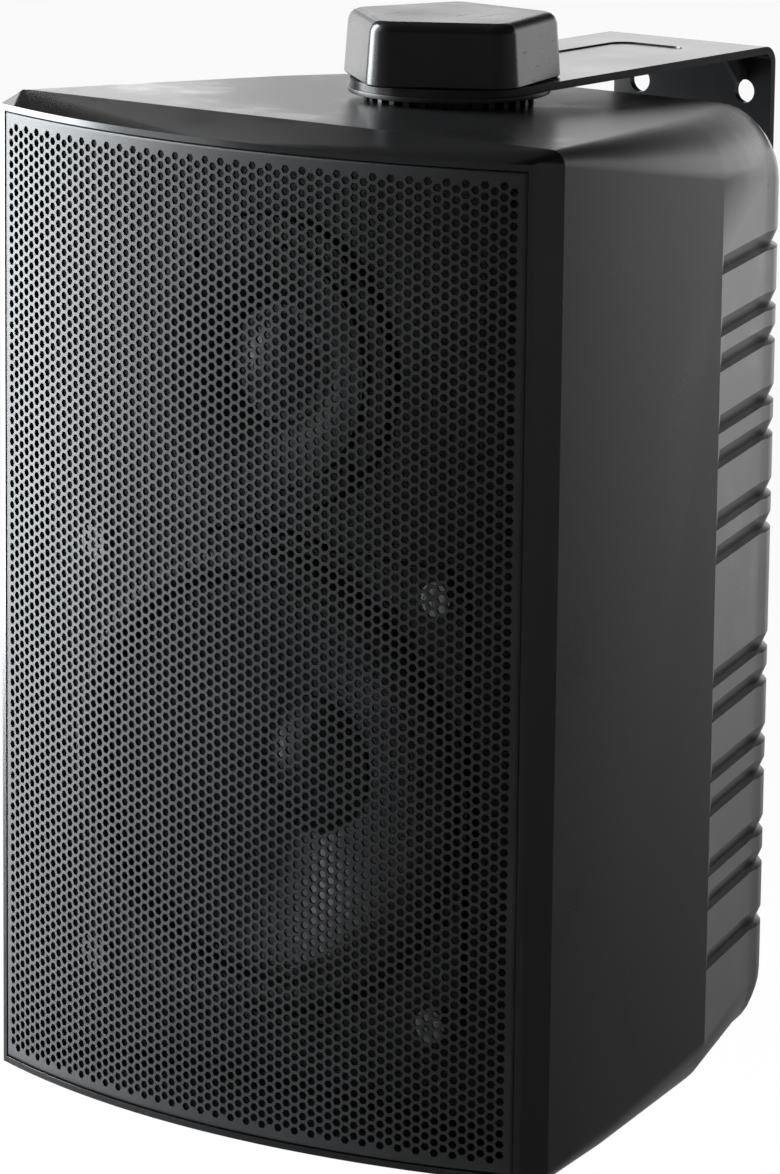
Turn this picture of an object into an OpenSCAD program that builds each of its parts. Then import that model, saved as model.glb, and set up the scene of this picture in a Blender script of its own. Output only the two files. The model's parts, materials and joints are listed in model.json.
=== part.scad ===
// Two-way wall loudspeaker: a wedge-shaped cabinet that swivels in a folded steel bracket.
// Millimetres. Z is up, the grille looks towards -Y, and the origin is on the wall,
// in the middle of the bracket's back plate.

/* [Cabinet] */
// Height of the grille's edge at the front
front_h = 245; // [225:1:260]
// Width between the two upright edges of the grille
front_w = 161.5; // [150:0.5:170]
// How far the grille bows forward in the middle
bow = 15; // [10:1:18]
// Depth of the front frame's visible rim
rim_depth = 8; // [6:0.5:9]
// How much the rim grows outwards over its depth
rim_step = 2.7; // [2:0.1:3]
// How far the rear shell's sides stand inside the rim
side_step = 0.6; // [0.3:0.1:1]
// Depth at which the first side facet ends
side1_y = 37.5; // [30:0.5:45]
// Half width at the end of the first side facet
side1_x = 80.6; // [77:0.1:81]
// Depth at which the second side facet ends
side2_y = 88.3; // [80:0.1:92]
// Half width at the end of the second side facet
side2_x = 74.2; // [71:0.1:76]
// Depth at which the grooved side facet ends
side3_y = 127; // [120:0.5:130]
// Half width at the end of the grooved side facet
side3_x = 61.5; // [58:0.5:64]
// Depth of the flat back
back_y = 149.7; // [146:0.1:152]
// How far the rounded back draws in from each side
back_round_x = 31; // [28:0.5:34]
// How far the rounded back draws in from top and bottom
back_round_z = 39; // [30:0.5:42]
// Slope of the top and bottom towards the back, degrees
taper = 1.9; // [1:0.1:2.5]
// Radius of the long edges at the front
edge_r_front = 3.9; // [3:0.1:5]
// Radius of the long edges at the back
edge_r_back = 14.2; // [10:0.1:16]
// Wall thickness of the rear shell
wall_t = 3; // [2.5:0.1:3.5]

/* [Side grooves] */
// Height of the first pair of grooves above and below the middle
groove_first = 15.6; // [14:0.1:18]
// Narrow distance between grooves
groove_near = 8.7; // [8:0.1:10]
// Wide distance between grooves
groove_far = 15.4; // [14:0.1:17]
// Height of a groove's sloping face
groove_ramp = 4.2; // [3:0.1:5]
// Depth of a groove
groove_depth = 1.8; // [1:0.1:2]

/* [Grille] */
// Thickness of the perforated steel
grille_t = 1; // [0.8:0.1:1.2]
// Width of the frame's lip around the grille
lip_w = 1.6; // [1.2:0.1:2.2]
// Hole spacing of the pattern
grille_pitch = 12; // [11:0.5:16]
// Radius of one hole of the pattern
grille_hole_r = 4.3; // [3:0.1:4.6]

/* [Drivers] */
// Height of the woofer's centre
woofer_z = -36.5; // [-40:0.5:-34]
// Half the side of the woofer's square flange
woofer_half = 59; // [58:0.5:60]
// Half the distance between the woofer's screws
woofer_screw = 52.5; // [52:0.5:53]
// Travel of the cone each way
woofer_travel = 3; // [2:0.5:4]
// Height of the tweeter's centre
tweeter_z = 66; // [64:0.5:68]
// Radius of the tweeter's faceplate
tweeter_r = 37; // [35:0.5:38]
// Radius of the tweeter's dome
dome_r = 12.5; // [12:0.5:13]

/* [Bracket and knobs] */
// Distance from the wall to the grille's upright edges
reach = 185.5; // [180:0.5:195]
// Depth of the swivel axis behind the grille's upright edges
axis_y = 76; // [74:0.5:78]
// Width of the folded strip
strip_w = 49.4; // [46:0.1:52]
// Thickness of the folded strip
strip_t = 2; // [1.5:0.1:2.5]
// Inside radius of the folds
fold_r = 2.5; // [2:0.1:4]
// Radius of a wall screw hole
wall_hole_r = 3.1; // [2.5:0.1:3.5]
// Half the distance between two wall holes in a row
wall_hole_x = 16.5; // [15:0.5:18]
// Height of the two rows of wall holes above and below the middle
wall_hole_z = 116; // [112:0.5:117]
// Height of a knob
knob_h = 16; // [15:0.5:20]
// Distance from the knob's axis to each of its five faces
knob_reach = 24; // [22:0.1:25]
// Radius of the clamping screw
screw_r = 4; // [3:0.5:4]

/* [Hidden] */
$fn = 64;

black_plastic = "#222224";
black_steel = "#19191b";
bright_steel = "#b9bcc0";
dark_rubber = "#161616";

baffle_y = 6;
baffle_t = 4;
recess_x = front_w / 2 - lip_w;
recess_z = front_h / 2 - lip_w;
seam = 0.3;
spigot_y = 14;
bow_r = (front_w * front_w / 4 + bow * bow) / (2 * bow);
half_h_front = front_h / 2 + rim_step;
axis_top = half_h_front - tan(taper) * (axis_y - rim_depth);
boss_h = 2.2;
pad_t = 1.3;
arm_z = axis_top + boss_h + pad_t;
knob_z = arm_z + strip_t + 0.1;
washer_t = 1.5;
strip_y = reach - strip_t;

// Outline of the cabinet at a given depth
function half_w(y) = lookup(y, [
    [rim_depth, front_w / 2 + rim_step], [side1_y, side1_x], [side2_y, side2_x], [side3_y, side3_x]
]);
function half_h(y) = half_h_front - tan(taper) * (y - rim_depth);
function edge_r(y) = lookup(y, [
    [rim_depth, edge_r_front], [side2_y, edge_r_back], [side3_y, edge_r_back + 3]
]);

// A station is depth, half width, half height, edge radius, sideways share of the
// surface's direction, backward share, and the share of the groove depth it has
function plain_station(y, groove) = [y, half_w(y), half_h(y), edge_r(y), 1, 0, groove];
function round_station(a) = [
    side3_y + (back_y - side3_y) * sin(a),
    side3_x - back_round_x * (1 - cos(a)),
    half_h(side3_y) - back_round_z * (1 - cos(a)),
    edge_r(side3_y) * (0.6 + 0.4 * cos(a)),
    cos(a), sin(a), a > 80 ? 0 : a > 70 ? 0.6 : 1
];
function first_station(y) = [y, half_w(rim_depth) - side_step, half_h(y), edge_r(y), 1, 0, 0];
stations = concat(
    [first_station(rim_depth + seam), plain_station(side1_y, 0)],
    [plain_station(side2_y, 0), plain_station(side2_y + 1.2, 1)],
    [for (a = [0 : 10 : 90]) round_station(a)]
);

// Heights of the grooves' bottoms, from the lowest up
groove_z = [
    for (side = [-1, 1]) for (i = side < 0 ? [6 : -1 : 0] : [0 : 6])
        side * (groove_first + ceil(i / 2) * groove_near + floor(i / 2) * groove_far)
];
// Each groove is a sloping face above a sharp step: height and share of depth
groove_line = [
    for (z = groove_z) for (p = [[-2.6, 0], [-2.1, 1], [groove_ramp - 2.1, 0]]) [z + p[0], p[1]]
];

// One side of a ring from the bottom up, then the arc over the top edge
function side_points(s) = [
    for (g = groove_line) [
        s[1] - groove_depth * g[1] * s[6] * s[4],
        s[0] - groove_depth * g[1] * s[6] * s[5],
        g[0] * min(1, (s[2] - s[3]) / (groove_z[13] + 4))
    ]
];
function corner_points(s) = [
    for (a = [0 : 10 : 90]) [s[1] - s[3] * (1 - cos(a)), s[0], s[2] - s[3] * (1 - sin(a))]
];
function flip_x(points) = [for (i = [len(points) - 1 : -1 : 0]) [-points[i][0], points[i][1], points[i][2]]];
function flip_z(points) = [for (i = [len(points) - 1 : -1 : 0]) [points[i][0], points[i][1], -points[i][2]]];
function right_points(s, grooved) = concat(
    flip_z(corner_points(s)), grooved ? side_points(s) : [], corner_points(s)
);
function ring(s, grooved) = concat(right_points(s, grooved), flip_x(right_points(s, grooved)));

// Skin through rings of equal length, closed by a flat face at each end
module loft(rings) {
    n = len(rings[0]);
    walls = [
        for (k = [0 : len(rings) - 2]) for (i = [0 : n - 1]) for (half = [0, 1])
            half == 0
                ? [k * n + i, k * n + (i + 1) % n, (k + 1) * n + (i + 1) % n]
                : [k * n + i, (k + 1) * n + (i + 1) % n, (k + 1) * n + i]
    ];
    first = [for (i = [n - 1 : -1 : 0]) i];
    last = [for (i = [0 : n - 1]) (len(rings) - 1) * n + i];
    polyhedron(
        points = [for (r = rings) for (p = r) p],
        faces = concat([first], walls, [last])
    );
}

// Same station drawn in by the wall thickness
function inner_station(s, y) = [y, s[1] - wall_t, s[2] - wall_t, max(1, s[3] - wall_t), 1, 0, 0];
inner_stations = concat(
    [inner_station(stations[0], rim_depth - 1), inner_station(stations[1], side1_y)],
    [inner_station(stations[2], side2_y)],
    [for (a = [0 : 10 : 90]) inner_station(round_station(a), round_station(a)[0] - wall_t * sin(a))]
);

// Helpers
module from_front() {
    translate([0, -reach, 0])
        children();
}
// Child built along +Z from its own origin is laid along +Y
module backward(x, y, z) {
    translate([x, y, z])
        rotate([-90, 0, 0])
            children();
}
module rod(x, y, z, r, length) {
    backward(x, y, z)
        cylinder(r = r, h = length);
}
module rounded_plate(w, h, r, t) {
    linear_extrude(t)
        union() {
            square([w - 2 * r, h], center = true);
            square([w, h - 2 * r], center = true);
            for (x = [-1, 1], y = [-1, 1])
                translate([x * (w / 2 - r), y * (h / 2 - r)])
                    circle(r = r);
        }
}
// Raised head of a screw that points backwards, with a cross cut into it
module pan_screw(x, y, z, head_r, head_h, shank_r, length) {
    difference() {
        union() {
            rod(x, y - head_h, z, head_r, head_h);
            rod(x, y, z, shank_r, length);
        }
        for (a = [0, 90])
            translate([x, y - head_h, z])
                rotate([0, a, 0])
                    cube([head_r * 1.1, head_h, head_r * 0.3], center = true);
    }
}

// Solid block of the whole rear shell, without its cavity
module shell_block() {
    loft([for (s = stations) ring(s, true)]);
}
module shell_cavity() {
    loft([for (s = inner_stations) ring(s, false)]);
}

frame_screw_x = 72;
frame_screw_z = [-112, 34, 112];
module shell_screw_bosses() {
    intersection() {
        shell_block();
        for (x = [-1, 1], z = frame_screw_z) {
            rod(x * frame_screw_x, spigot_y + 0.5, z, 4.5, 34);
            translate([x * (frame_screw_x + 6) - 6, spigot_y + 0.5, z - 1.5])
                cube([12, 34, 3]);
        }
    }
}

cup_z = -34;
cup_w = 50;
cup_h = 46;
cup_screw_x = cup_w / 2 + 1.8;
cup_screw_z = cup_h / 2 + 1.8;
board_z = 34;
board_y = 139;
board_screws = [for (x = [-1, 1], z = [-1, 1]) [x * 24, board_z + z * 20]];

// Toothed boss that carries one arm of the bracket, drawn for the top
module arm_boss() {
    translate([0, axis_y, axis_top - 4])
        cylinder(r = 19, h = 4 + boss_h);
    for (a = [0 : 12 : 348])
        translate([0, axis_y, axis_top - 4])
            rotate([0, 0, a])
                translate([18, -0.8, 0])
                    cube([3, 1.6, 4 + boss_h - 0.4]);
    translate([0, axis_y, axis_top - 22])
        cylinder(r = 9, h = 20);
}
module arm_boss_hole() {
    translate([0, axis_y, axis_top - 19])
        cylinder(r = 6, h = 30);
}

module rear_shell() {
    color(black_plastic)
        from_front()
            difference() {
                union() {
                    difference() {
                        shell_block();
                        shell_cavity();
                    }
                    shell_screw_bosses();
                    for (s = board_screws)
                        rod(s[0], board_y + 1.6, s[1], 3, back_y - board_y - 3);
                    arm_boss();
                    mirror([0, 0, 1])
                        arm_boss();
                }
                arm_boss_hole();
                mirror([0, 0, 1])
                    arm_boss_hole();
                for (x = [-1, 1], z = frame_screw_z)
                    rod(x * frame_screw_x, spigot_y, z, 1.6, 20);
                for (s = board_screws)
                    rod(s[0], board_y, s[1], 1.2, 8);
                translate([-cup_w / 2 - 0.2, back_y - 10, cup_z - cup_h / 2 - 0.2])
                    cube([cup_w + 0.4, 12, cup_h + 0.4]);
                for (x = [-1, 1], z = [-1, 1])
                    rod(x * cup_screw_x, back_y - 5, cup_z + z * cup_screw_z, 1.3, 7);
            }
}

// Front frame: bowed rim, recess for the grille, and the baffle that holds the drivers
module bowed_block() {
    hull() {
        linear_extrude(front_h, center = true)
            polygon([
                for (i = [-12 : 12])
                    let (x = front_w / 2 * i / 12)
                        [x, bow_r - bow - sqrt(bow_r * bow_r - x * x)]
            ]);
        backward(0, rim_depth - 0.1, 0)
            rounded_plate(2 * half_w(rim_depth), 2 * half_h_front, edge_r_front, 0.1, $fn = 32);
    }
}
module front_frame() {
    mouth_x = half_w(spigot_y) - side_step - wall_t - 0.3;
    mouth_z = half_h_front - wall_t - 0.5;
    color(black_plastic)
        from_front()
            difference() {
                union() {
                    bowed_block();
                    backward(0, rim_depth - 1, 0)
                        rounded_plate(2 * mouth_x, 2 * mouth_z, 3, spigot_y - rim_depth + 1);
                }
                translate([-recess_x, -bow - 5, -recess_z])
                    cube([2 * recess_x, bow + 5 + baffle_y, 2 * recess_z]);
                difference() {
                    backward(0, baffle_y + baffle_t, 0)
                        rounded_plate(2 * mouth_x - 5, 2 * mouth_z - 5, 2, 10);
                    for (x = [-1, 1], z = frame_screw_z)
                        rod(x * frame_screw_x, baffle_y, z, 4.5, spigot_y - baffle_y);
                    for (x = [-1, 1], z = [-1, 1])
                        rod(x * woofer_screw, baffle_y, woofer_z + z * woofer_screw, 4, spigot_y - baffle_y);
                }
                rod(0, baffle_y - 1, woofer_z, 62.5, 10);
                rod(0, baffle_y - 1, tweeter_z, 27, 10);
                for (x = [-1, 1], z = frame_screw_z)
                    rod(x * frame_screw_x, baffle_y - 1, z, 2, 12);
                for (x = [-1, 1], z = [-1, 1])
                    rod(x * woofer_screw, baffle_y - 1, woofer_z + z * woofer_screw, 1.7, 12);
                for (a = [45 : 90 : 315])
                    rod(33.5 * cos(a), baffle_y - 1, tweeter_z + 33.5 * sin(a), 1.3, 12);
            }
}

// Perforated steel grille, bent along its bow and turned back at its edges
module grille() {
    gx = recess_x - 0.15;
    gz = recess_z - 0.15;
    turned = 5;
    columns = floor((gx - 7) / (grille_pitch * sqrt(3) / 2));
    rows = floor((gz - 7) / grille_pitch);
    color(black_steel)
        from_front()
            union() {
                difference() {
                    intersection() {
                        translate([0, bow_r - bow, -gz])
                            cylinder(r = bow_r, h = 2 * gz, $fn = 256);
                        translate([-gx, -bow - 1, -gz])
                            cube([2 * gx, bow + turned + 1, 2 * gz]);
                    }
                    translate([0, bow_r - bow, -gz + grille_t])
                        cylinder(r = bow_r - grille_t, h = 2 * gz - 2 * grille_t, $fn = 256);
                    translate([0, bow_r - bow + turned, -gz - 1])
                        cylinder(r = bow_r, h = 2 * gz + 2, $fn = 256);
                    backward(0, -bow - 2, 0)
                        linear_extrude(bow + 8)
                            for (i = [-columns : columns], j = [-rows : rows])
                                if (abs(i) % 2 == 0 || j < rows)
                                    translate([
                                        i * grille_pitch * sqrt(3) / 2,
                                        (j + (abs(i) % 2) / 2) * grille_pitch
                                    ])
                                        circle(r = grille_hole_r);
                }
                for (x = [-gx, gx - grille_t])
                    translate([x, 0.6, -gz])
                        cube([grille_t, turned - 0.6, 2 * gz]);
            }
}

module frame_screws() {
    color(black_steel)
        from_front()
            for (x = [-1, 1], z = frame_screw_z)
                pan_screw(x * frame_screw_x, baffle_y, z, 3.2, 2.2, 1.55, 24);
}

// Woofer, drawn from its flange on the baffle to its back plate
shelf_y = 36;
floor_y = 50;
plate_y = floor_y + 1.2;
magnet_y = plate_y + 5;
pole_y = magnet_y + 14;

// Ring-shaped piece about the woofer's axis: outline points are radius and depth
module woofer_turned(points) {
    backward(0, 0, woofer_z)
        rotate_extrude($fn = 96)
            polygon(points);
}
module woofer_basket() {
    color("#2a2b2d")
        from_front()
            difference() {
                union() {
                    backward(0, baffle_y - 2, woofer_z)
                        linear_extrude(2)
                            difference() {
                                intersection() {
                                    square(2 * woofer_half, center = true);
                                    circle(r = 79);
                                }
                                circle(r = 58.5);
                                for (x = [-1, 1], z = [-1, 1])
                                    translate([x * woofer_screw, z * woofer_screw])
                                        circle(r = 2.2);
                            }
                    woofer_turned([
                        [58, baffle_y - 2], [61.5, baffle_y - 2], [61.5, baffle_y + 1],
                        [43.5, shelf_y], [43.5, floor_y], [44, plate_y], [15, plate_y], [15, floor_y],
                        [42, floor_y], [42, shelf_y + 1], [40, shelf_y + 1], [40, shelf_y - 0.5],
                        [41.8, shelf_y - 0.5], [58, baffle_y + 2]
                    ]);
                }
                for (a = [0 : 60 : 300])
                    translate([0, 0, woofer_z])
                        rotate([0, a, 0])
                            translate([-11, baffle_y + 8, 0])
                                cube([22, shelf_y - baffle_y - 12, 80]);
            }
}
module woofer_top_plate() {
    color(bright_steel)
        from_front()
            woofer_turned([[14.5, plate_y], [37, plate_y], [37, magnet_y], [14.5, magnet_y]]);
}
module woofer_magnet() {
    color("#3a3a3c")
        from_front()
            woofer_turned([
                [18, magnet_y], [42, magnet_y], [43, magnet_y + 1], [43, pole_y - 1],
                [42, pole_y], [18, pole_y]
            ]);
}
module woofer_pole_plate() {
    color(bright_steel)
        from_front()
            woofer_turned([
                [0, plate_y], [12.2, plate_y], [12.2, pole_y], [38, pole_y], [39, pole_y + 1],
                [39, pole_y + 5], [0, pole_y + 5]
            ]);
}
module woofer_surround() {
    roll = 54;
    color(dark_rubber)
        from_front()
            backward(0, 0, woofer_z)
                rotate_extrude($fn = 96)
                    union() {
                        difference() {
                            translate([roll, 3.4])
                                circle(r = 5, $fn = 32);
                            translate([roll, 3.4])
                                circle(r = 4.3, $fn = 32);
                            translate([roll - 6, 4])
                                square([12, 8]);
                        }
                        translate([roll + 4.4, 3.3])
                            square([3, 0.7]);
                        translate([roll - 7.4, 3.3])
                            square([3, 0.7]);
                    }
}
module woofer_cone() {
    color("#2e2f33")
        from_front()
            woofer_turned([
                [49.4, 4], [49.4, 4.9], [46.6, 4.9], [13.7, 27], [13.2, 27], [13.2, 26],
                [45.8, 4]
            ]);
}
module woofer_dust_cap() {
    cap_r = 17;
    rise = 6;
    sphere_r = (cap_r * cap_r + rise * rise) / (2 * rise);
    edge_y = 22.7;
    color("#232426")
        from_front()
            backward(0, edge_y + sphere_r - rise, woofer_z)
                rotate_extrude($fn = 96)
                    intersection() {
                        difference() {
                            circle(r = sphere_r, $fn = 128);
                            circle(r = sphere_r - 0.6, $fn = 128);
                        }
                        translate([0, -sphere_r - 1])
                            square([cap_r, rise + 1]);
                    }
}
module woofer_voice_coil() {
    color("#b06a34")
        from_front()
            woofer_turned([
                [12.75, 26], [13.1, 26], [13.1, plate_y - 2], [13.8, plate_y - 2], [13.8, magnet_y + 2],
                [12.75, magnet_y + 2]
            ]);
}
module woofer_spider() {
    waves = 5;
    inner_r = 13.2;
    outer_r = 41.5;
    steps = waves * 8;
    top = [
        for (i = [0 : steps])
            [
                inner_r + (outer_r - inner_r) * i / steps,
                shelf_y - 1.4 + 0.9 * sin(360 * i / 8) * (i < steps ? 1 : 0)
            ]
    ];
    low = [for (i = [steps : -1 : 0]) [top[i][0], top[i][1] + 0.5]];
    color("#c9a24b")
        from_front()
            woofer_turned(concat(top, low));
}
module woofer_screws() {
    color(bright_steel)
        from_front()
            for (x = [-1, 1], z = [-1, 1])
                pan_screw(
                    x * woofer_screw, baffle_y - 2, woofer_z + z * woofer_screw, 4.2, 2.6, 1.65, 11
                );
}

// Tweeter with a short horn around its dome
throat_y = 9;
module tweeter_turned(points) {
    backward(0, 0, tweeter_z)
        rotate_extrude($fn = 96)
            polygon(points);
}
module tweeter_faceplate() {
    flare = [
        for (i = [0 : 6])
            let (t = i / 6)
                [30 - 15.5 * sin(90 * t), baffle_y - 4 + (throat_y - baffle_y + 4) * (1 - cos(90 * t))]
    ];
    color("#262628")
        from_front()
            difference() {
                tweeter_turned(concat(
                    [[tweeter_r, baffle_y], [tweeter_r, baffle_y - 1.6], [tweeter_r - 0.8, baffle_y - 2.4],
                     [30.6, baffle_y - 2.4]],
                    flare,
                    [[14.5, throat_y + 3], [23, throat_y + 3], [23, baffle_y]]
                ));
                for (a = [45 : 90 : 315])
                    rod(33.5 * cos(a), baffle_y - 4, tweeter_z + 33.5 * sin(a), 1.5, 10);
            }
}
module tweeter_dome() {
    rise = 6;
    sphere_r = (dome_r * dome_r + rise * rise) / (2 * rise);
    color("#2b2b2d")
        from_front()
            backward(0, 0, tweeter_z)
                rotate_extrude($fn = 96)
                    union() {
                        translate([0, throat_y + sphere_r - rise])
                            intersection() {
                                difference() {
                                    circle(r = sphere_r, $fn = 128);
                                    circle(r = sphere_r - 0.4, $fn = 128);
                                }
                                translate([0, -sphere_r - 1])
                                    square([dome_r, rise + 1.4]);
                            }
                        translate([dome_r - 0.6, throat_y - 0.3])
                            square([2.4, 0.7]);
                    }
}
module tweeter_magnet() {
    top_y = throat_y + 3;
    color("#3a3a3c")
        from_front()
            tweeter_turned([
                [0, top_y], [22, top_y], [22, top_y + 3], [25, top_y + 3.6], [25, top_y + 12],
                [22, top_y + 12.6], [22, top_y + 16], [0, top_y + 16]
            ]);
}
module tweeter_screws() {
    color(black_steel)
        from_front()
            for (a = [45 : 90 : 315])
                pan_screw(
                    33.5 * cos(a), baffle_y - 2.4, tweeter_z + 33.5 * sin(a), 2.7, 1.6, 1.25, 11
                );
}

// Terminal cup with two spring levers in the flat back
lever_x = 12;
cup_depth = 12;
pivot_y = back_y - 3.4;
pivot_z = cup_z + 13;
module terminal_cup() {
    color(black_plastic)
        from_front()
            difference() {
                union() {
                    backward(0, back_y, cup_z)
                        rounded_plate(cup_w + 8, cup_h + 8, 3, 1.8);
                    translate([-cup_w / 2, back_y - cup_depth - 1.6, cup_z - cup_h / 2])
                        cube([cup_w, cup_depth + 1.7, cup_h]);
                }
                difference() {
                    translate([-cup_w / 2 + 1.6, back_y - cup_depth, cup_z - cup_h / 2 + 1.6])
                        cube([cup_w - 3.2, cup_depth + 3, cup_h - 3.2]);
                    for (x = [-lever_x, lever_x]) {
                        translate([x - 7, back_y - cup_depth - 1, cup_z - 18])
                            cube([14, 6.5, 9]);
                        for (e = [-8.7, 6.9])
                            translate([x + e, back_y - cup_depth - 1, pivot_z - 3])
                                cube([1.8, 11.6, 6]);
                    }
                }
                for (x = [-lever_x, lever_x]) {
                    translate([x - 10, pivot_y, pivot_z])
                        rotate([0, 90, 0])
                            cylinder(r = 1.35, h = 20);
                    rod(x, back_y - cup_depth - 4, cup_z - 13.5, 1.6, 14);
                    translate([x - 2.1, back_y - cup_depth - 3, cup_z + 1.9])
                        cube([4.2, 4, 0.9]);
                }
                for (x = [-1, 1], z = [-1, 1])
                    rod(x * cup_screw_x, back_y - 1, cup_z + z * cup_screw_z, 1.3, 4);
            }
}
module terminal_screws() {
    color(bright_steel)
        from_front()
            for (x = [-1, 1], z = [-1, 1])
                translate([x * cup_screw_x, back_y + 1.8, cup_z + z * cup_screw_z])
                    rotate([90, 0, 0])
                        difference() {
                            union() {
                                translate([0, 0, -1.2])
                                    cylinder(r = 1.8, h = 1.2);
                                cylinder(r = 1.25, h = 6);
                            }
                            for (a = [0, 90])
                                rotate([0, 0, a])
                                    translate([0, 0, -1.2])
                                        cube([2.2, 0.5, 1], center = true);
                        }
}
module terminal_contacts() {
    color("#c9b06a")
        from_front()
            for (x = [-lever_x, lever_x]) {
                translate([x - 2, back_y - cup_depth - 9.6, cup_z + 2])
                    cube([4, 10.1, 0.7]);
                translate([x - 2, back_y - cup_depth, cup_z - 8.5])
                    cube([4, 0.5, 16]);
            }
}
// Lever with its pivot pin across the top and a thumb pad below
module lever(x, c) {
    color(c)
        from_front()
            union() {
                translate([x - 8.6, pivot_y, pivot_z])
                    rotate([0, 90, 0])
                        cylinder(r = 1.3, h = 17.2);
                translate([x - 6.4, pivot_y - 2, pivot_z - 21])
                    cube([12.8, 2.4, 21]);
                translate([x - 6.4, pivot_y, pivot_z])
                    rotate([0, 90, 0])
                        cylinder(r = 2.2, h = 12.8);
                for (i = [0 : 3])
                    translate([x - 6.4, pivot_y + 0.2, pivot_z - 20.6 + i * 2.4])
                        cube([12.8, 1, 1]);
            }
}
module red_lever() {
    lever(-lever_x, "#a81820");
}
module black_lever() {
    lever(lever_x, "#1b1b1b");
}

// Crossover on the inside of the back
module crossover_board() {
    color("#2f6b3a")
        from_front()
            difference() {
                translate([-30, board_y, board_z - 26])
                    cube([60, 1.6, 52]);
                for (s = board_screws)
                    rod(s[0], board_y - 1, s[1], 1.6, 5);
            }
}
module crossover_screws() {
    color(bright_steel)
        from_front()
            for (s = board_screws)
                pan_screw(s[0], board_y, s[1], 2.6, 1.6, 1.15, 6);
}
module capacitor() {
    color("#2d4f8f")
        from_front()
            translate([-14, board_y - 8, board_z + 14])
                rotate([0, 90, 0])
                    cylinder(r = 8, h = 28);
}
module inductor() {
    color("#b06a34")
        from_front()
            backward(-13, board_y - 14, board_z - 8)
                difference() {
                    cylinder(r = 12, h = 14);
                    translate([0, 0, -1])
                        cylinder(r = 5, h = 16);
                }
}
module resistor() {
    color("#d9d4c8")
        from_front()
            translate([5, board_y - 9, board_z - 14])
                cube([20, 9, 9]);
}

// Clamping parts, drawn for the top arm and mirrored for the bottom one
module insert_shape() {
    color("#b8943f")
        from_front()
            translate([0, axis_y, axis_top - 19])
                difference() {
                    cylinder(r = 6, h = 19 + boss_h - 0.2);
                    translate([0, 0, -1])
                        cylinder(r = screw_r + 0.05, h = 40);
                }
}
module pad_shape() {
    color(dark_rubber)
        from_front()
            translate([0, axis_y, axis_top + boss_h])
                difference() {
                    cylinder(r = strip_w / 2 + 0.4, h = pad_t - 0.02, $fn = 96);
                    translate([0, 0, -1])
                        cylinder(r = 6.5, h = 5);
                }
}
module washer_shape() {
    color(bright_steel)
        from_front()
            translate([0, axis_y, arm_z + strip_t + 0.03])
                difference() {
                    cylinder(r = 11.5, h = washer_t);
                    translate([0, 0, -1])
                        cylinder(r = screw_r + 0.3, h = 5);
                }
}
module screw_shape() {
    color(bright_steel)
        from_front()
            translate([0, axis_y, 0])
                union() {
                    translate([0, 0, axis_top - 18])
                        cylinder(r = screw_r, h = knob_z + 8 - axis_top + 18);
                    translate([0, 0, knob_z + 4])
                        cylinder(r = 6.5, h = 4, $fn = 6);
                }
}
// Five-sided knob: corner centres about its axis, one face turned towards the front
corner_r = 6.9;
knob_turn = -59;
knob_corner = (knob_reach - corner_r) / cos(36);
module knob_shape() {
    levels = [
        [0, 0.5], [0.5, 0], [knob_h - 2.6, 0.9], [knob_h - 1.1, 1.5], [knob_h - 0.35, 2.4],
        [knob_h - 0.01, 3.7]
    ];
    color(black_plastic)
        from_front()
            translate([0, axis_y, knob_z])
                difference() {
                    hull()
                        for (level = levels, k = [0 : 4])
                            rotate([0, 0, knob_turn + 36 + 72 * k])
                                translate([knob_corner, 0, level[0]])
                                    cylinder(r = corner_r - level[1], h = 0.01, $fn = 40);
                    translate([0, 0, -1])
                        cylinder(r = 12.2, h = 1 + washer_t + 0.2);
                    translate([0, 0, -1])
                        cylinder(r = screw_r, h = 6);
                    translate([0, 0, 4])
                        cylinder(r = 6.5, h = 4, $fn = 6);
                }
}
module top_insert() {
    insert_shape();
}
module bottom_insert() {
    mirror([0, 0, 1])
        insert_shape();
}
module top_pad() {
    pad_shape();
}
module bottom_pad() {
    mirror([0, 0, 1])
        pad_shape();
}
module top_washer() {
    washer_shape();
}
module bottom_washer() {
    mirror([0, 0, 1])
        washer_shape();
}
module top_screw() {
    screw_shape();
}
module bottom_screw() {
    mirror([0, 0, 1])
        screw_shape();
}
module top_knob() {
    knob_shape();
}
module bottom_knob() {
    mirror([0, 0, 1])
        knob_shape();
}

// Bracket: one strip folded twice, with a round end and a pressed panel on each arm
module half_strip() {
    outer_r = fold_r + strip_t;
    top_z = arm_z + strip_t;
    translate([-strip_w / 2, axis_y, arm_z])
        cube([strip_w, reach - outer_r - axis_y, strip_t]);
    translate([0, axis_y, arm_z])
        cylinder(r = strip_w / 2, h = strip_t, $fn = 96);
    translate([-strip_w / 2, strip_y, -1])
        cube([strip_w, strip_t, top_z - outer_r + 1]);
    intersection() {
        translate([-strip_w / 2, reach - outer_r, top_z - outer_r])
            rotate([0, 90, 0])
                difference() {
                    cylinder(r = outer_r, h = strip_w);
                    translate([0, 0, -1])
                        cylinder(r = fold_r, h = strip_w + 2);
                }
        translate([-strip_w / 2, reach - outer_r, top_z - outer_r])
            cube([strip_w, outer_r, outer_r]);
    }
    for (x = [-15, 15])
        intersection() {
            translate([x, strip_y - 3, arm_z - 3])
                rotate([45, 0, 0])
                    cylinder(r = 2.4, h = 12, center = true);
            translate([x - 4, strip_y - 10, arm_z - 10])
                cube([8, 11, 11]);
        }
}
module half_strip_cuts() {
    panel_w = 22;
    panel_start = axis_y + 30;
    panel_end = 166;
    translate([0, axis_y, arm_z - 1])
        cylinder(r = screw_r + 0.6, h = strip_t + 2);
    for (x = [-1, 1])
        rod(x * wall_hole_x, strip_y - 1, wall_hole_z, wall_hole_r, strip_t + 2);
    translate([0, (panel_start + panel_end) / 2, arm_z + strip_t - 0.9])
        rounded_plate(panel_w, panel_end - panel_start, 5, 3);
}
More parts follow.
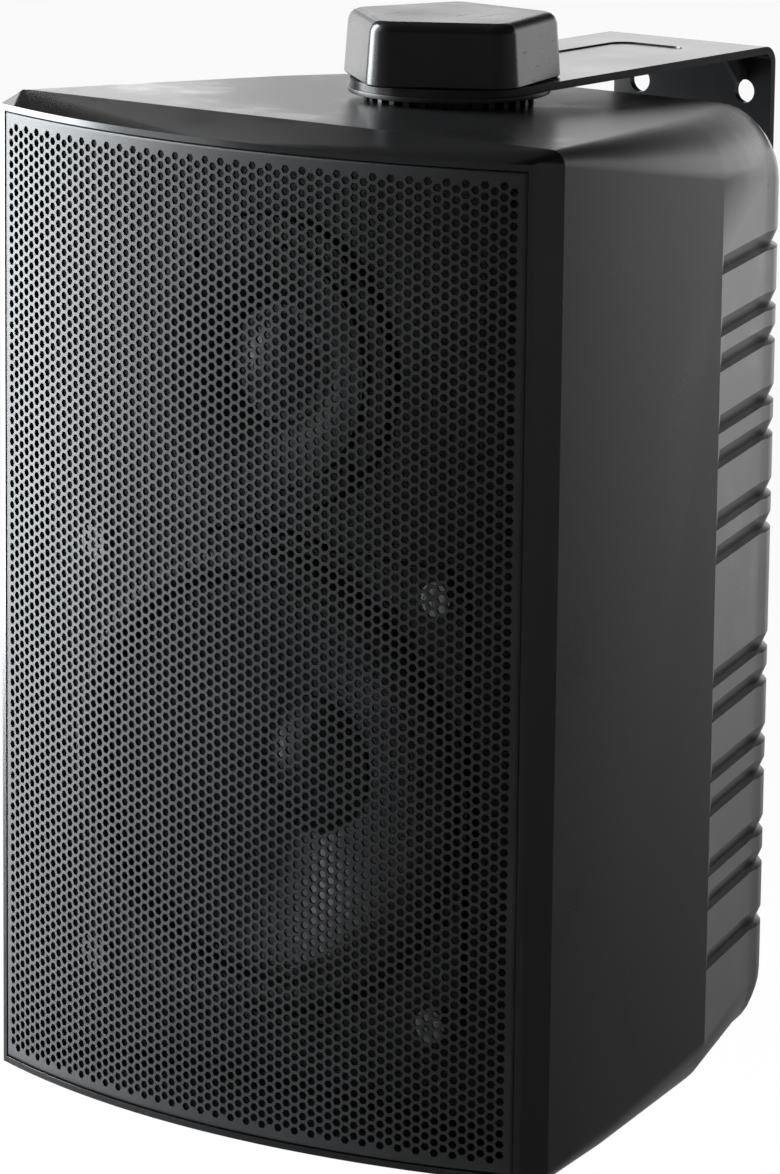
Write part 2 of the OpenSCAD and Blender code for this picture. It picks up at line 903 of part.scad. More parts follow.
module half_strip_panel() {
    panel_w = 22;
    panel_start = axis_y + 30;
    panel_end = 166;
    translate([0, (panel_start + panel_end) / 2, arm_z - 0.9])
        rounded_plate(panel_w + 2, panel_end - panel_start + 2, 6, 1.2);
}
module bracket() {
    color(black_steel)
        from_front()
            difference() {
                for (m = [0, 1])
                    mirror([0, 0, m]) {
                        half_strip();
                        half_strip_panel();
                    }
                for (m = [0, 1])
                    mirror([0, 0, m])
                        half_strip_cuts();
            }
}

bracket();
rear_shell();
front_frame();
grille();
frame_screws();
woofer_basket();
woofer_top_plate();
woofer_magnet();
woofer_pole_plate();
woofer_surround();
woofer_cone();
woofer_dust_cap();
woofer_voice_coil();
woofer_spider();
woofer_screws();
tweeter_faceplate();
tweeter_dome();
tweeter_magnet();
tweeter_screws();
terminal_cup();
terminal_screws();
terminal_contacts();
red_lever();
black_lever();
crossover_board();
crossover_screws();
capacitor();
inductor();
resistor();
top_insert();
bottom_insert();
top_pad();
bottom_pad();
top_washer();
bottom_washer();
top_screw();
bottom_screw();
top_knob();
bottom_knob();
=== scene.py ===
"""Two-way wall loudspeaker: finished pieces, surface finishes, stage and camera."""

import json
import math

import bmesh
import bpy
from bpy.props import FloatProperty, FloatVectorProperty, PointerProperty
from mathutils import Matrix, Quaternion, Vector

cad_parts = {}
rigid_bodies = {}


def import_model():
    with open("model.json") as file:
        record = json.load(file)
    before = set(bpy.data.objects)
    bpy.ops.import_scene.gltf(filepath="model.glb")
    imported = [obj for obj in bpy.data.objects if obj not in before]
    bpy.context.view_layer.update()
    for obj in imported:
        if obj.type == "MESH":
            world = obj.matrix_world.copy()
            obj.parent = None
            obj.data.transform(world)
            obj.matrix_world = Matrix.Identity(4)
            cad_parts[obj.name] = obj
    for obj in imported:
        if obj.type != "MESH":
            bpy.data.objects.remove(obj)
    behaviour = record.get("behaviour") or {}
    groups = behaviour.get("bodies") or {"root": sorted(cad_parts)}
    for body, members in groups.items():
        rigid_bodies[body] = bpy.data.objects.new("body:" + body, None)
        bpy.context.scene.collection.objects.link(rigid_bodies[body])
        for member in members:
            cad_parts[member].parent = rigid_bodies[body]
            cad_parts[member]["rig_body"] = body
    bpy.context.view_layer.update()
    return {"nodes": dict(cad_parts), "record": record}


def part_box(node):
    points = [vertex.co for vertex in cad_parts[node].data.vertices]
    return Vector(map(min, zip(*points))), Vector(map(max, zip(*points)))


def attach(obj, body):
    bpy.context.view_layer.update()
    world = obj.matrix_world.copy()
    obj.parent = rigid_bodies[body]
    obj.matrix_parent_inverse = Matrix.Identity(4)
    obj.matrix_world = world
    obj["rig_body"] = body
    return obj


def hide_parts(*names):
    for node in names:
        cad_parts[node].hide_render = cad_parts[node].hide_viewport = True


bl_info = {
    "name": "Wall Loudspeaker",
    "version": (1, 0, 0),
    "blender": (4, 5, 0),
    "location": "3D View > Sidebar > Loudspeaker",
    "description": "Finishes a two-way wall loudspeaker piece by piece and lights it",
    "category": "Object",
}

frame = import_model()

MM = 0.001

# Distance from the wall to the grille's upright edges, from which the depths below are counted
REACH = 185.5 * MM

GRILLE_LOW, GRILLE_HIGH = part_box("grille")

# Depths at which the facets of the housing's sides meet, and how far up and down those lines
# are kept sharp
FACET_LINES = (37.5 * MM - REACH, 88.3 * MM - REACH)
FACET_HALF_HEIGHT = 110 * MM

# Pressed panel of the top arm, which the bottom arm mirrors: half the width and the two ends of
# its outer face, and the heights of both its faces
PANEL_HALF_WIDTH = 11 * MM
PANEL_ENDS = (106 * MM - REACH, 166 * MM - REACH)
PANEL_LEVELS = (125.54 * MM, 127.54 * MM)

# The level direction in which the studio's paper is brightest: behind the loudspeaker, a little
# to the camera's left. Then how bright it is in reflections, in front, beside and that way
BRIGHTEST_WAY = (-0.25, 0.97, 0.0)
FRONT_GLOW, SIDE_GLOW, BACK_GLOW = 0.13, 0.25, 1.87

# Strength of the air's light on every surface, which fills the shadows
FILL_LIGHT = 0.24

# The point that the lamps face, near the middle of the loudspeaker
MIDDLE = (0.0, -0.12, 0.0)

# The camera's place, the point it looks at, its roll, and its focal length in the photo's pixels
CAMERA_PLACE = (0.87199, -1.29914, 0.31927)
CAMERA_AIM = (-0.008684, -0.12, -0.000113)
CAMERA_ROLL = math.radians(0.6585)
FOCAL_PIXELS = 5983.8
PHOTO_HEIGHT_PIXELS = 1174.0
SENSOR_MM = 36.0

SLOTS = {row["node"]: row["material_slot"] for row in frame["record"]["subparts"]}


# Values a user would change

class SpeakerSizes(bpy.types.PropertyGroup):
    hole_pitch: FloatProperty(
        name="Hole pitch", description="Distance between the grille's holes along a column",
        default=0.00268, min=0.002, max=0.012, unit="LENGTH", subtype="DISTANCE")
    web: FloatProperty(
        name="Web", description="Width of the steel left between two holes",
        default=0.00080, min=0.0004, max=0.002, unit="LENGTH", subtype="DISTANCE")
    sheet: FloatProperty(
        name="Sheet thickness", description="Thickness of the grille's steel sheet",
        default=0.0008, min=0.0005, max=0.0015, unit="LENGTH", subtype="DISTANCE")
    fold: FloatProperty(
        name="Grille fold", description="Radius of the bend along the grille's edges",
        default=0.0008, min=0.0004, max=0.002, unit="LENGTH", subtype="DISTANCE")
    bow: FloatProperty(
        name="Bow radius", description="Radius that the grille is bent to",
        default=0.2249, min=0.15, max=0.4, unit="LENGTH", subtype="DISTANCE")
    edge: FloatProperty(
        name="Edge rounding", description="Rounding along the edges of moulded and cut pieces",
        default=0.0003, min=0.0001, max=0.0006, unit="LENGTH", subtype="DISTANCE")
    panel_lift: FloatProperty(
        name="Panel lift", description="How much shallower the arms' pressed panels are than in the solids",
        default=0.00055, min=0.0, max=0.0008, unit="LENGTH", subtype="DISTANCE")
    floor_drop: FloatProperty(
        name="Floor drop", description="Distance from the middle of the loudspeaker down to the floor",
        default=0.45, min=0.15, max=2.0, unit="LENGTH", subtype="DISTANCE")


def colour(name, description, value):
    return FloatVectorProperty(
        name=name, description=description, subtype="COLOR", size=3, min=0.0, max=1.0, default=value)


class SpeakerColours(bpy.types.PropertyGroup):
    housing: colour("Housing", "Textured plastic of the cabinet", (0.011, 0.011, 0.0115))
    knob: colour("Knob", "Smooth plastic of the knobs and the black lever", (0.016, 0.016, 0.017))
    powder: colour("Powder coat", "Coated steel of the grille and the bracket", (0.018, 0.018, 0.019))
    basket: colour("Basket", "Painted steel of the woofer's basket", (0.022, 0.022, 0.024))
    zinc: colour("Zinc", "Plated steel of the screws and washers", (0.80, 0.80, 0.81))
    ferrite: colour("Ferrite", "Sintered ring magnets", (0.07, 0.07, 0.075))
    rubber: colour("Rubber", "Surround and pads", (0.018, 0.018, 0.018))
    cone: colour("Cone", "Coated paper of the woofer's cone", (0.060, 0.060, 0.063))
    cap: colour("Dust cap", "Moulded cap in the middle of the cone", (0.030, 0.030, 0.032))
    dome: colour("Dome", "Coated cloth dome of the tweeter", (0.090, 0.090, 0.095))
    copper: colour("Copper", "Enamelled winding wire", (0.70, 0.30, 0.12))
    cloth: colour("Spider", "Impregnated cloth of the woofer's spider", (0.62, 0.42, 0.13))
    red: colour("Red", "Red terminal lever", (0.50, 0.02, 0.03))
    brass: colour("Brass", "Turned threaded inserts", (0.70, 0.52, 0.22))
    contact: colour("Contact", "Plated spring strips of the terminals", (0.78, 0.66, 0.38))
    board: colour("Board", "Lacquered circuit board", (0.03, 0.16, 0.06))
    sleeve: colour("Sleeve", "Film sleeve of the capacitor", (0.03, 0.08, 0.30))
    cement: colour("Cement", "Ceramic body of the resistor", (0.74, 0.71, 0.64))
    floor: colour("Floor", "Pale floor of the stage", (0.86, 0.86, 0.86))


def sizes():
    return bpy.context.scene.speaker_sizes


def colours():
    return bpy.context.scene.speaker_colours


# Finishes

class Wire:
    """A shader socket that takes part in expressions: each operator adds its Math node."""

    def __init__(self, finish, socket):
        self.finish = finish
        self.socket = socket

    def _math(self, operation, first, second):
        return self.finish.node("ShaderNodeMath", {"operation": operation}, {0: first, 1: second})

    def __add__(self, other):
        return self._math("ADD", self, other)

    def __radd__(self, other):
        return self._math("ADD", other, self)

    def __sub__(self, other):
        return self._math("SUBTRACT", self, other)

    def __rsub__(self, other):
        return self._math("SUBTRACT", other, self)

    def __mul__(self, other):
        return self._math("MULTIPLY", self, other)


class Finish:
    """A named material, or the world, and its node tree."""

    def __init__(self, owner):
        owner.use_nodes = True
        self.tree = owner.node_tree

    def node(self, kind, settings=None, values=None, output=0):
        made = self.tree.nodes.new(kind)
        for key, value in (settings or {}).items():
            setattr(made, key, value)
        for key, value in (values or {}).items():
            self.feed(made.inputs[key], value)
        return Wire(self, made.outputs[output])

    def feed(self, socket, value):
        if isinstance(value, Wire):
            self.tree.links.new(value.socket, socket)
        else:
            socket.default_value = value

    def dot(self, way, axis):
        """How far a vector reaches along an axis."""
        return self.node("ShaderNodeVectorMath", {"operation": "DOT_PRODUCT"}, {0: way, 1: axis}, "Value")

    def place(self, stretch=(1, 1, 1), turn=(0, 0, 0)):
        """Object coordinates, stretched and turned for a grain that runs one way."""
        here = self.node("ShaderNodeTexCoord", output="Object")
        return self.node("ShaderNodeMapping", None, {
            "Vector": here, "Scale": stretch, "Rotation": turn})

    def noise(self, scale, detail=2.0, roughness=0.5, at=None):
        return self.node("ShaderNodeTexNoise", None, {
            "Vector": at or self.place(), "Scale": scale, "Detail": detail, "Roughness": roughness})

    def cells(self, scale, feature="F1"):
        return self.node("ShaderNodeTexVoronoi", {"feature": feature}, {
            "Vector": self.place(), "Scale": scale})

    def saw(self, value, reach):
        """A value folded to and fro between 0 and a reach."""
        return self.node("ShaderNodeMath", {"operation": "PINGPONG"}, {0: value, 1: reach})

    def between(self, value, low, high, to_low=0.0, to_high=1.0):
        """A value brought from one range to another with soft ends."""
        return self.node("ShaderNodeMapRange", {"interpolation_type": "SMOOTHSTEP"}, {
            "Value": value, "From Min": low, "From Max": high, "To Min": to_low, "To Max": to_high})

    def blend(self, share, first, second):
        """Two colours mixed."""
        return self.node("ShaderNodeMix", {"data_type": "RGBA"}, {
            0: share, 6: first, 7: second}, output=2)

    def bump(self, height, depth, under=None):
        values = {"Height": height, "Distance": depth}
        if under:
            values["Normal"] = under
        return self.node("ShaderNodeBump", None, values)


def rgba(value, gain=1.0):
    """A colour for a shader, made darker or paler by a gain."""
    return tuple(min(1.0, c * gain) for c in value[:3]) + (1.0,)


def surface(name, varying, fixed=None):
    """A material from what varies over it and from what is the same all over."""
    material = bpy.data.materials.new(name)
    finish = Finish(material)
    shader = finish.tree.nodes["Principled BSDF"]
    for key, value in (fixed or {}).items():
        shader.inputs[key].default_value = value
    for key, value in varying(finish).items():
        finish.feed(shader.inputs[key], value)
    return material


def moulded_plastic(name, tint, rough=0.32):
    """Spark-textured moulding: fine pits, flow marks, dust, handled patches a little shinier."""
    def varying(f):
        pits = f.noise(2600.0, 3.0, 0.6)
        flow = f.noise(14.0, 3.0, 0.55, f.place(stretch=(1, 1, 0.35)))
        touch = f.between(f.noise(38.0, 4.0, 0.6), 0.48, 0.72)
        dust = f.between(f.noise(420.0, 2.0, 0.7), 0.66, 0.80)
        body = f.blend(f.between(flow, 0.3, 0.7), rgba(tint, 0.86), rgba(tint, 1.16))
        return {
            "Base Color": f.blend(dust * 0.10, body, rgba(tint, 3.0)),
            "Roughness": rough + (pits - 0.5) * 0.10 - touch * 0.05 + dust * 0.08,
            "Normal": f.bump(pits, 0.000007),
        }
    return surface(name, varying)


def smooth_plastic(name, tint, rough=0.25):
    """Satin moulding with hair scratches and faint sink."""
    def varying(f):
        brushed = f.place(stretch=(1, 0.06, 1), turn=(0, 0, 0.6))
        hair = f.between(f.noise(900.0, 2.0, 0.7, brushed), 0.62, 0.72)
        sink = f.noise(60.0, 2.0, 0.4)
        grain = f.noise(3800.0, 2.0, 0.5)
        return {
            "Base Color": f.blend(f.between(sink, 0.35, 0.7), rgba(tint, 0.88), rgba(tint, 1.15)),
            "Roughness": rough + (sink - 0.5) * 0.10 + hair * 0.10,
            "Normal": f.bump(grain, 0.000004, f.bump(sink, 0.00006)),
        }
    return surface(name, varying)


def powder_coat(name, tint, rough=0.20):
    """Baked powder: low orange peel, tiny nibs and a cloudy tone."""
    def varying(f):
        peel = f.noise(1500.0, 2.0, 0.45)
        nibs = f.between(f.cells(900.0), 0.0, 0.22, 1.0, 0.0)
        cloud = f.noise(24.0, 3.0, 0.5)
        return {
            "Base Color": f.blend(f.between(cloud, 0.35, 0.7), rgba(tint, 0.85), rgba(tint, 1.2)),
            "Roughness": rough + (cloud - 0.5) * 0.10 + nibs * 0.05,
            "Normal": f.bump(peel + nibs * 0.25, 0.000003),
        }
    return surface(name, varying)


def plated_steel(name, tint, rough=0.27):
    """Plated steel or turned brass: crystal patches in the sheen, fine scratches, a haze."""
    def varying(f):
        crystal = f.cells(700.0)
        haze = f.noise(160.0, 3.0, 0.6)
        turned = f.noise(2600.0, 2.0, 0.6, f.place(stretch=(0.1, 1, 1)))
        return {
            "Base Color": f.blend(f.between(haze, 0.35, 0.75), rgba(tint), rgba(tint, 0.72)),
            "Roughness": rough + (haze - 0.5) * 0.20 + crystal * 0.06,
            "Normal": f.bump(turned, 0.000006),
        }
    return surface(name, varying, {"Metallic": 1.0})


def sintered(name, tint):
    """Ferrite or cement: dull, pitted, with pale specks."""
    def varying(f):
        grit = f.noise(1700.0, 4.0, 0.7)
        specks = f.between(f.cells(1300.0), 0.0, 0.18, 1.0, 0.0)
        stain = f.noise(45.0, 3.0, 0.55)
        base = f.blend(f.between(stain, 0.3, 0.7), rgba(tint, 0.82), rgba(tint, 1.12))
        return {
            "Base Color": f.blend(specks * 0.25, base, rgba(tint, 1.9)),
            "Roughness": 0.58 + (grit - 0.5) * 0.22,
            "Normal": f.bump(grit, 0.00003),
        }
    return surface(name, varying)


def soft_rubber(name, tint):
    """Black rubber with a bloom of dust and a finely grained skin."""
    def varying(f):
        bloom = f.between(f.noise(70.0, 4.0, 0.62), 0.45, 0.8)
        skin = f.noise(2200.0, 3.0, 0.5)
        return {
            "Base Color": f.blend(bloom * 0.35, rgba(tint), rgba(tint, 2.6)),
            "Roughness": 0.34 + bloom * 0.14 + (skin - 0.5) * 0.10,
            "Normal": f.bump(skin, 0.000012),
        }
    return surface(name, varying)


def coated_paper(name, tint):
    """Pressed paper pulp under a thin coat: fibres and a cloudy sheen."""
    def varying(f):
        fibres = f.noise(900.0, 5.0, 0.75)
        pulp = f.noise(130.0, 3.0, 0.6)
        return {
            "Base Color": f.blend(f.between(fibres, 0.42, 0.68), rgba(tint, 0.75), rgba(tint, 1.45)),
            "Roughness": 0.24 + (pulp - 0.5) * 0.16 + (fibres - 0.5) * 0.10,
            "Normal": f.bump(fibres + pulp * 0.6, 0.00001),
        }
    return surface(name, varying)


def pressed_film(name, tint, rough):
    """Thin shaped skin, such as a cap or a coated dome: slightly rippled, with a fine haze."""
    def varying(f):
        ripple = f.noise(150.0, 2.0, 0.5)
        haze = f.noise(1200.0, 3.0, 0.6)
        return {
            "Base Color": f.blend(f.between(ripple, 0.3, 0.75), rgba(tint), rgba(tint, 0.78)),
            "Roughness": rough + (haze - 0.5) * 0.12,
            "Normal": f.bump(ripple, 0.00008),
        }
    return surface(name, varying, {"Metallic": 0.25})


def wound_wire(name, tint):
    """Close turns of enamelled wire around the Y axis, with painted shade in the grooves between turns."""
    pitch = 0.5 * MM

    def varying(f):
        along = f.dot(f.node("ShaderNodeTexCoord", output="Object"), (0, 1, 0))
        turns = f.saw(along, pitch / 2) * (2 / pitch)
        enamel = f.noise(240.0, 3.0, 0.6)
        # The colour darkens in the grooves between turns as painted shade
        return {
            "Base Color": f.blend(f.between(turns, 0.0, 0.5), rgba(tint, 0.30), f.blend(
                f.between(enamel, 0.3, 0.7), rgba(tint, 0.85), rgba(tint, 1.1))),
            "Roughness": 0.28 + (enamel - 0.5) * 0.15,
            "Normal": f.bump(f.between(turns, 0.0, 1.0), pitch * 0.35),
        }
    return surface(name, varying, {"Metallic": 0.85})


def stiff_cloth(name, tint):
    """Woven cotton stiffened with resin, with painted shade in the gaps between threads."""
    thread = 0.3 * MM

    def varying(f):
        here = f.node("ShaderNodeTexCoord", output="Object")
        over, under = (
            f.saw(f.node("ShaderNodeSeparateXYZ", None, {0: here}, output=axis), thread) * 3300.0
            for axis in ("X", "Z"))
        weave = over * under
        resin = f.noise(90.0, 3.0, 0.6)
        # The colour darkens where the weave is low, as painted shade in the gaps between threads
        return {
            "Base Color": f.blend(weave, rgba(tint, 0.55), f.blend(
                f.between(resin, 0.35, 0.7), rgba(tint), rgba(tint, 0.72))),
            "Roughness": 0.62 - f.between(resin, 0.5, 0.8) * 0.2,
            "Normal": f.bump(weave, 0.00012),
        }
    return surface(name, varying)


def lacquered_board(name, tint):
    """Glass-fibre board under green lacquer, with copper areas showing as paler green."""
    def varying(f):
        fibre = f.noise(1500.0, 2.0, 0.6, f.place(stretch=(1, 1, 0.08)))
        tracks = f.between(f.cells(95.0, "DISTANCE_TO_EDGE"), 0.10, 0.14)
        return {
            "Base Color": f.blend(tracks, rgba(tint, 0.72), rgba(tint, 1.6)),
            "Roughness": 0.28 + (fibre - 0.5) * 0.14,
            "Normal": f.bump(tracks + fibre * 0.2, 0.00004),
        }
    return surface(name, varying)


def film_sleeve(name, tint):
    """Shrunk film with lengthwise ripples."""
    def varying(f):
        ripple = f.noise(260.0, 2.0, 0.5, f.place(stretch=(0.12, 1, 1)))
        scuff = f.between(f.noise(420.0, 3.0, 0.6), 0.6, 0.75)
        return {
            "Base Color": f.blend(scuff * 0.3, rgba(tint), rgba(tint, 1.7)),
            "Roughness": 0.22 + (ripple - 0.5) * 0.1 + scuff * 0.15,
            "Normal": f.bump(ripple, 0.00008),
        }
    return surface(name, varying)


def material_for(slot):
    """The finish of a material slot, made once."""
    name = slot + "_finish"
    if name in bpy.data.materials:
        return bpy.data.materials[name]
    c = colours()
    makers = {
        "black_plastic": lambda n: moulded_plastic(n, c.housing),
        "knob_plastic": lambda n: smooth_plastic(n, c.knob),
        "black_steel": lambda n: powder_coat(n, c.powder),
        "basket_steel": lambda n: powder_coat(n, c.basket, 0.30),
        "zinc_steel": lambda n: plated_steel(n, c.zinc),
        "ferrite": lambda n: sintered(n, c.ferrite),
        "rubber": lambda n: soft_rubber(n, c.rubber),
        "cone": lambda n: coated_paper(n, c.cone),
        "dust_cap": lambda n: pressed_film(n, c.cap, 0.26),
        "copper": lambda n: wound_wire(n, c.copper),
        "spider": lambda n: stiff_cloth(n, c.cloth),
        "dome": lambda n: pressed_film(n, c.dome, 0.28),
        "red_plastic": lambda n: smooth_plastic(n, c.red, 0.3),
        "brass": lambda n: plated_steel(n, c.brass, 0.24),
        "contact": lambda n: plated_steel(n, c.contact, 0.2),
        "board": lambda n: lacquered_board(n, c.board),
        "blue_sleeve": lambda n: film_sleeve(n, c.sleeve),
        "resistor_body": lambda n: sintered(n, c.cement),
    }
    return makers[slot](name)


# Mesh helpers

def everything(bm):
    return bm.verts[:] + bm.edges[:] + bm.faces[:]


def solid_mesh(node):
    """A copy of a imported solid's mesh, its loose triangles joined into flat faces."""
    bm = bmesh.new()
    bm.from_mesh(frame["nodes"][node].data)
    bmesh.ops.remove_doubles(bm, verts=bm.verts, dist=3e-6)
    bmesh.ops.dissolve_limit(
        bm, angle_limit=math.radians(0.4), verts=bm.verts, edges=bm.edges)
    return bm


def turn_of(edge):
    """The angle in degrees between the two faces at an edge, or 0 along an open one."""
    return math.degrees(edge.calc_face_angle(0.0)) if len(edge.link_faces) == 2 else 0.0


def bevel(bm, edges, width, segments, clamp):
    """Cuts a width off edges, in a number of steps."""
    bmesh.ops.bevel(
        bm, geom=edges, offset=width, offset_type="OFFSET", segments=segments,
        profile=0.5, affect="EDGES", material=-1, clamp_overlap=clamp)


def round_edges(bm, radius, over):
    """Rounds the edges that turn more sharply than an angle in degrees."""
    bm.normal_update()
    bevel(bm, [e for e in bm.edges if turn_of(e) > over], radius, segments=2, clamp=True)


def finish_piece(bm, name, nodes, smooth=32.0, crease=None):
    """Shades a mesh, makes it a piece that stands for the nodes, and gives it their finish."""
    bm.normal_update()
    for face in bm.faces:
        face.smooth = True
    for edge in bm.edges:
        edge.smooth = not (turn_of(edge) > smooth or (crease is not None and crease(edge)))
    mesh = bpy.data.meshes.new(name)
    bm.to_mesh(mesh)
    bm.free()
    mesh.materials.append(material_for(SLOTS[nodes[0]]))
    piece = bpy.data.objects.new(name, mesh)
    bpy.context.scene.collection.objects.link(piece)
    even = piece.modifiers.new("even_shading", "WEIGHTED_NORMAL")
    even.keep_sharp = True
    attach(piece, frame["nodes"][nodes[0]]["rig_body"])
    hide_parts(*nodes)
    return piece


def refined(node, edge=None, over=60.0, smooth=32.0, crease=None):
    """The node's own solid with its edges rounded and its curves shaded smooth."""
    bm = solid_mesh(node)
    if edge:
        round_edges(bm, edge, over)
    return finish_piece(bm, node + "_finished", [node], smooth, crease)


def lay_copies(bm, step, doublings):
    """Lays copies of everything along a step, twice as many each time."""
    for k in range(doublings):
        more = bmesh.ops.duplicate(bm, geom=everything(bm))["geom"]
        bmesh.ops.translate(
            bm, verts=[v for v in more if isinstance(v, bmesh.types.BMVert)], vec=Vector(step) * 2 ** k)


def keep_cells(bm, reach_x, reach_z):
    """Drops the cells whose middles lie outside the reach."""
    far = [f for f in bm.faces
           if abs(f.calc_center_median().x) > reach_x or abs(f.calc_center_median().z) > reach_z]
    bmesh.ops.delete(bm, geom=far, context="FACES")


def perforated_grille():
    """Bowed steel sheet with a close pattern of holes and its edges turned back."""
    s = sizes()
    pitch, fold = s.hole_pitch, s.fold
    half_x, half_z = GRILLE_HIGH.x, GRILLE_HIGH.z
    side_x = s.bow * math.asin((half_x - fold) / s.bow)
    side_z = half_z - fold
    column = pitch * math.sqrt(3) / 2
    bm = bmesh.new()
    bmesh.ops.create_circle(bm, cap_ends=True, segments=6, radius=pitch / math.sqrt(3))
    bmesh.ops.rotate(bm, verts=bm.verts, matrix=Matrix.Rotation(math.radians(30), 3, "Z"))
    bmesh.ops.rotate(bm, verts=bm.verts, matrix=Matrix.Rotation(math.radians(90), 3, "X"))
    rows = math.ceil(math.log2(2 * side_z / pitch + 2))
    lay_copies(bm, (0, 0, pitch), rows)
    bmesh.ops.translate(bm, verts=bm.verts, vec=(0, 0, -pitch * 2 ** (rows - 1)))
    keep_cells(bm, 1, side_z + pitch)
    lay_copies(bm, (column, 0, pitch / 2), 1)
    pairs = math.ceil(math.log2(side_x / column + 2))
    lay_copies(bm, (2 * column, 0, 0), pairs)
    bmesh.ops.translate(bm, verts=bm.verts, vec=(-column * 2 ** pairs, 0, 0))
    keep_cells(bm, side_x + column, side_z + pitch)
    bmesh.ops.remove_doubles(bm, verts=bm.verts, dist=pitch * 0.02)
    # The cut edges then run through the middles of cells or along their flat sides
    even_x = side_x / (round(side_x / column) * column)
    even_z = side_z / (round(2 * side_z / pitch) * pitch / 2)
    bmesh.ops.scale(bm, verts=bm.verts, vec=(even_x, 1, even_z))
    for x, z in ((1, 0), (-1, 0), (0, 1), (0, -1)):
        bmesh.ops.bisect_plane(
            bm, geom=everything(bm), dist=1e-7,
            plane_co=(x * side_x, 0, z * side_z), plane_no=(x, 0, z), clear_outer=True)
    inner = [e for e in bm.edges if len(e.link_faces) == 2]
    bevel(bm, inner, s.web / 2, segments=1, clamp=False)
    # What is left of a whole cell is a hexagon that is narrower by one web
    hole_area = math.sqrt(3) / 2 * (pitch - s.web) ** 2
    holes = [f for f in bm.faces if len(f.verts) == 6 and abs(f.calc_area() / hole_area - 1) < 0.03]
    bmesh.ops.delete(bm, geom=holes, context="FACES_ONLY")
    rim_x, rim_z = side_x - 1e-6, side_z - 1e-6
    rim = [e for e in bm.edges if len(e.link_faces) == 1 and (
        min(abs(v.co.x) for v in e.verts) > rim_x or min(abs(v.co.z) for v in e.verts) > rim_z)]
    turned_back = GRILLE_HIGH.y - (GRILLE_LOW.y + s.bow - math.sqrt(s.bow ** 2 - half_x ** 2))
    # The fold's rounds, out and back in shares of its radius, and the edge turned back
    for out, back in ((0.38, 0.08), (0.71, 0.29), (0.92, 0.62), (1.0, 1.0), (1.0, turned_back / fold)):
        grown = bmesh.ops.extrude_edge_only(bm, edges=rim)["geom"]
        rim = [e for e in grown if isinstance(e, bmesh.types.BMEdge) and len(e.link_faces) == 1]
        for v in {v for e in rim for v in e.verts}:
            if abs(v.co.x) > rim_x:
                v.co.x = math.copysign(side_x + out * fold, v.co.x)
            if abs(v.co.z) > rim_z:
                v.co.z = math.copysign(side_z + out * fold, v.co.z)
            v.co.y = back * fold
    for v in bm.verts:
        angle = v.co.x / s.bow
        v.co.x = s.bow * math.sin(angle)
        v.co.y += GRILLE_LOW.y + s.bow * (1 - math.cos(angle))
    bmesh.ops.recalc_face_normals(bm, faces=bm.faces)
    if sum(f.normal.y for f in bm.faces) > 0:
        bmesh.ops.reverse_faces(bm, faces=bm.faces)
    bmesh.ops.solidify(bm, geom=bm.faces[:], thickness=s.sheet)
    piece = finish_piece(bm, "grille_sheet", ["grille"], 40.0)
    piece.data.materials[0] = powder_coat("pierced_sheet_finish", colours().powder, 0.42)


# Pieces

class SPEAKER_OT_housing(bpy.types.Operator):
    """Finishes the moulded rear housing with its grooves and facets"""
    bl_idname = "speaker.housing"
    bl_label = "Housing"

    def execute(self, context):
        def facet_line(edge):
            a, b = (v.co for v in edge.verts)
            along = any(max(abs(a.y - y), abs(b.y - y)) < 0.2 * MM for y in FACET_LINES)
            return along and abs(a.z) < FACET_HALF_HEIGHT

        refined("rear_shell", smooth=17.0, crease=facet_line)
        return {"FINISHED"}


class SPEAKER_OT_front(bpy.types.Operator):
    """Finishes the bowed front frame that carries the grille and the drivers"""
    bl_idname = "speaker.front"
    bl_label = "Front frame"

    def execute(self, context):
        frame_piece = refined("front_frame", sizes().edge, over=50.0)
        frame_piece.data.materials[0] = moulded_plastic("front_frame_finish", colours().housing, 0.20)
        return {"FINISHED"}


class SPEAKER_OT_grille(bpy.types.Operator):
    """Makes the perforated steel grille"""
    bl_idname = "speaker.grille"
    bl_label = "Grille"

    def execute(self, context):
        perforated_grille()
        return {"FINISHED"}


class SPEAKER_OT_fasteners(bpy.types.Operator):
    """Finishes the screws of the frame, the drivers, the terminals and the board"""
    bl_idname = "speaker.fasteners"
    bl_label = "Fasteners"

    def execute(self, context):
        for holder in ("frame", "woofer", "tweeter", "terminal", "crossover"):
            refined(holder + "_screws")
        return {"FINISHED"}


class SPEAKER_OT_woofer(bpy.types.Operator):
    """Finishes the woofer from its basket to its dust cap"""
    bl_idname = "speaker.woofer"
    bl_label = "Woofer"

    def execute(self, context):
        for part in ("basket", "top_plate", "magnet", "pole_plate", "surround", "cone", "dust_cap",
                     "voice_coil", "spider"):
            refined("woofer_" + part)
        return {"FINISHED"}


class SPEAKER_OT_tweeter(bpy.types.Operator):
    """Finishes the tweeter's faceplate, dome and magnet"""
    bl_idname = "speaker.tweeter"
    bl_label = "Tweeter"

    def execute(self, context):
        for part in ("faceplate", "dome", "magnet"):
            refined("tweeter_" + part)
        return {"FINISHED"}


class SPEAKER_OT_terminals(bpy.types.Operator):
    """Finishes the terminal cup, its spring strips and its two levers"""
    bl_idname = "speaker.terminals"
    bl_label = "Terminals"

    def execute(self, context):
        refined("terminal_cup", sizes().edge)
        refined("terminal_contacts")
        for node in ("red_lever", "black_lever"):
            refined(node, sizes().edge)
        return {"FINISHED"}


class SPEAKER_OT_crossover(bpy.types.Operator):
    """Finishes the crossover board and the parts on it"""
    bl_idname = "speaker.crossover"
    bl_label = "Crossover"

    def execute(self, context):
        for node in ("crossover_board", "capacitor", "inductor", "resistor"):
            refined(node)
        return {"FINISHED"}


class SPEAKER_OT_clamps(bpy.types.Operator):
    """Finishes both clamping knobs with their screws, washers, pads and inserts"""
    bl_idname = "speaker.clamps"
    bl_label = "Clamping knobs"

    def execute(self, context):
        for end in ("top", "bottom"):
            refined(end + "_knob")
            refined(end + "_pad", sizes().edge)
            for part in ("screw", "washer", "insert"):
                refined(end + "_" + part)
        return {"FINISHED"}


